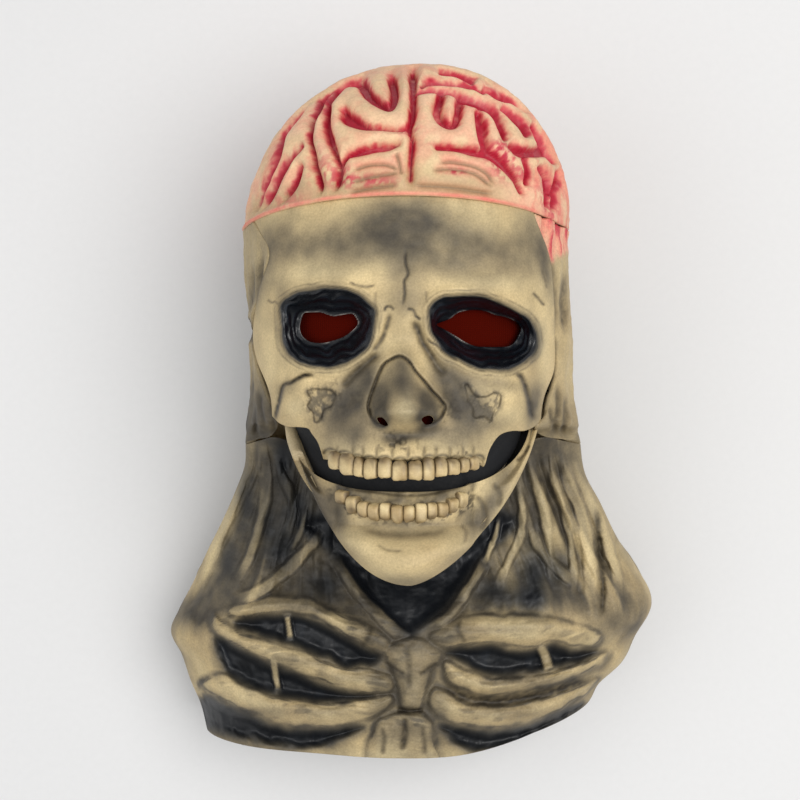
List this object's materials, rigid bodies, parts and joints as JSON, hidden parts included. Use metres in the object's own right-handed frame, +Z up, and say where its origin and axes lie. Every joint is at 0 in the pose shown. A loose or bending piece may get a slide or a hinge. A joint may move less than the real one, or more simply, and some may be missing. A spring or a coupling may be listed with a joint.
{
  "type": "full-head skull mask",
  "caption": "Full-head painted latex skull mask with an exposed brain cap, a hinged lower jaw with teeth and a ribbed chest bib, lying on its back.",
  "frame": {"origin": "middle of the footprint, on the surface that the mask lies on", "axes": "+Y from the neck opening to the crown, +Z up out of the face, +X across the face"},
  "size_m": [0.2913, 0.3924, 0.2258],
  "materials": {
    "bone_latex": "matte painted latex, grey airbrush shading and dark cracks",
    "brain_latex": "satin painted latex, cream ridges and crimson grooves",
    "hood_latex": "matte painted latex, mottled tan",
    "tooth_latex": "satin painted latex with brown seams",
    "black_stretch": "glossy coated stretch fabric",
    "screen_fabric": "matt dark red open-weave fabric",
    "foam": "matt open-cell foam",
    "elastic": "woven elastic webbing",
    "black_plastic": "fine matt",
    "rivet_metal": "satin"
  },
  "bodies": {
    "head": {"skull_face": "bone_latex", "brain_cap": "brain_latex", "back_hood": "hood_latex", "nape_skirt": "hood_latex", "chest_bib": "bone_latex", "upper_teeth": "tooth_latex", "mouth_lining": "black_stretch", "throat_gusset": "black_stretch", "left_eye_screen": "screen_fabric", "right_eye_screen": "screen_fabric", "nostril_screen": "screen_fabric", "left_pivot_tab": "black_plastic", "right_pivot_tab": "black_plastic", "forehead_pad": "foam", "crown_pad": "foam", "head_strap": "elastic", "strap_snaps": "rivet_metal"},
    "jaw": {"lower_jaw": "bone_latex", "lower_teeth": "tooth_latex", "left_hinge_arm": "black_plastic", "right_hinge_arm": "black_plastic", "left_rivet": "rivet_metal", "right_rivet": "rivet_metal", "chin_cup": "foam"}
  },
  "joints": [
    {"name": "jaw_hinge", "type": "hinge", "parent": "head", "child": "jaw", "pos_m": [0.0001, 0.0072, 0.112], "axis": [1, 0, 0], "range_deg": [-5, 14], "stiffness_Nm_per_rad": 0.5, "springref_deg": -2.58, "deforming": ["mouth_lining", "throat_gusset"]}
  ]
}
